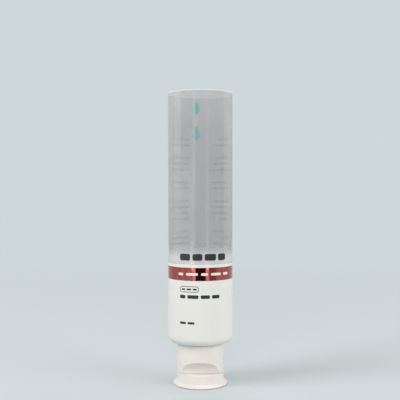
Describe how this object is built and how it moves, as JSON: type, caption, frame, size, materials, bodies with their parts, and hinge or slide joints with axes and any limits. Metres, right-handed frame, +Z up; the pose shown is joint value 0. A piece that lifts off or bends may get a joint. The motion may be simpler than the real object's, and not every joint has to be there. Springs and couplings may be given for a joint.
{
  "type": "cosmetic tube",
  "caption": "Open-ended round squeeze tube of frosted translucent plastic with a copper foil band, standing on a white flip-top cap with thumb scoop and flared foot.",
  "frame": {"origin": "middle of the flat foot that the tube stands on, on the tube's axis", "axes": "+Z up along the tube's axis towards the open filling end, -Y towards the thumb scoop, +X to the right"},
  "size_m": [0.0382, 0.0382, 0.171],
  "materials": {
    "frosted_sleeve": "translucent frosted polyethylene, extruded, white ink on the lower part",
    "copper_foil": "hot-stamped metallic foil, copper rose, mirror bright",
    "natural_head": "moulded polyethylene, uncoloured",
    "white_cap": "moulded white polypropylene, satin"
  },
  "bodies": {
    "cap": {"cap_base": "white_cap", "hinge_web": "white_cap"},
    "lid": {"flip_lid": "white_cap"},
    "tube": {"tube_sleeve": "frosted_sleeve", "foil_band": "copper_foil", "tube_head": "natural_head"}
  },
  "joints": [
    {"name": "lid_hinge", "type": "hinge", "parent": "cap", "child": "lid", "pos_m": [0, 0.01457, 0.00762], "axis": [1, 0, 0], "range_deg": [0, 170], "deforming": ["hinge_web"]},
    {"name": "cap_unscrew", "type": "slide", "parent": "cap", "child": "tube", "axis": [0, 0, 1], "range_m": [0, 0.018]}
  ]
}
